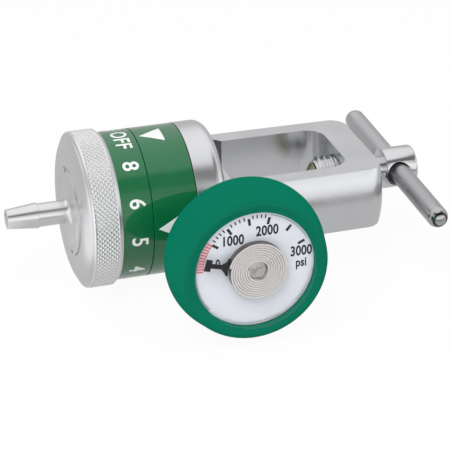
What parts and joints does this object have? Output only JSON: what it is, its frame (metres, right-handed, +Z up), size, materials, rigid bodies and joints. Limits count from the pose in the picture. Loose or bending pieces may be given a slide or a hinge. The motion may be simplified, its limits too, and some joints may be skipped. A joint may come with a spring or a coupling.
{
  "type": "oxygen regulator",
  "caption": "Click-style oxygen regulator for a pin-indexed cylinder valve, with yoke, T-handle screw, knurled flow knob, hose barb and a pressure gauge in a green rubber boot.",
  "frame": {"origin": "centre of the inlet seat face, where the nipple stands in the yoke window", "axes": "+X along the bar from the inlet seat towards the T-handle screw, -Y out of the gauge's front, +Z up, away from the index pins"},
  "size_m": [0.1274, 0.0951, 0.0468],
  "materials": {
    "body_metal": "polished",
    "knob_metal": "polished, diamond knurl on the rim",
    "plated_metal": "bright plated",
    "screw_metal": "bright plated",
    "steel": "ground",
    "brass": "turned",
    "bronze": "sintered",
    "coil_metal": "satin",
    "label_green": "glossy printed film",
    "boot_green": "satin",
    "case_metal": "satin",
    "dial_white": "printed",
    "pointer_black": "matte",
    "lens_clear": "clear",
    "seal_black": "matte",
    "washer_white": "matte"
  },
  "bodies": {
    "regulator": {"regulator_body": "body_metal", "fixed_label": "label_green", "inlet_nipple": "brass", "inlet_filter": "bronze", "sealing_washer": "washer_white", "index_pin_front": "steel", "index_pin_back": "steel", "outlet_barb": "plated_metal", "chamber_cover": "body_metal", "piston_spring": "steel", "valve_seat": "washer_white", "detent_ball": "steel", "detent_spring": "steel", "gauge_stem": "brass", "gauge_washer": "washer_white", "gauge_case": "case_metal", "gauge_boot": "boot_green", "gauge_dial": "dial_white", "gauge_lens": "lens_clear", "gauge_post": "coil_metal", "gauge_coil": "coil_metal"},
    "knob": {"flow_knob": "knob_metal", "number_band": "label_green", "orifice_plate": "steel", "drive_pin_front": "steel", "drive_pin_back": "steel"},
    "piston": {"piston": "brass", "piston_seal": "seal_black"},
    "pointer": {"gauge_pointer": "pointer_black"},
    "point": {"screw_point": "brass"},
    "screw": {"yoke_screw": "screw_metal", "t_bar": "screw_metal"}
  },
  "joints": [
    {"name": "knob_turn", "type": "hinge", "parent": "regulator", "child": "knob", "pos_m": [0, 0, 0], "axis": [1, 0, 0], "range_deg": [0, 330]},
    {"name": "piston_slide", "type": "slide", "parent": "regulator", "child": "piston", "axis": [1, 0, 0], "range_m": [0, 0.0007], "stiffness_N_per_m": 800, "deforming": ["piston_spring"]},
    {"name": "pointer_turn", "type": "hinge", "parent": "regulator", "child": "pointer", "pos_m": [-0.0051, 0, 0], "axis": [0, 1, 0], "range_deg": [0, 144], "stiffness_Nm_per_rad": 0.0005},
    {"name": "screw_advance", "type": "slide", "parent": "regulator", "child": "point", "axis": [-1, 0, 0], "range_m": [-0.009, 0.0059]},
    {"name": "t_handle_turn", "type": "hinge", "parent": "point", "child": "screw", "pos_m": [0, 0, 0], "axis": [-1, 0, 0], "range_deg": [-1657.7, 1086.5]}
  ],
  "couplings": [
    {"joint": "screw_advance", "follows": "t_handle_turn", "m_per_rad": 0.00031096}
  ]
}
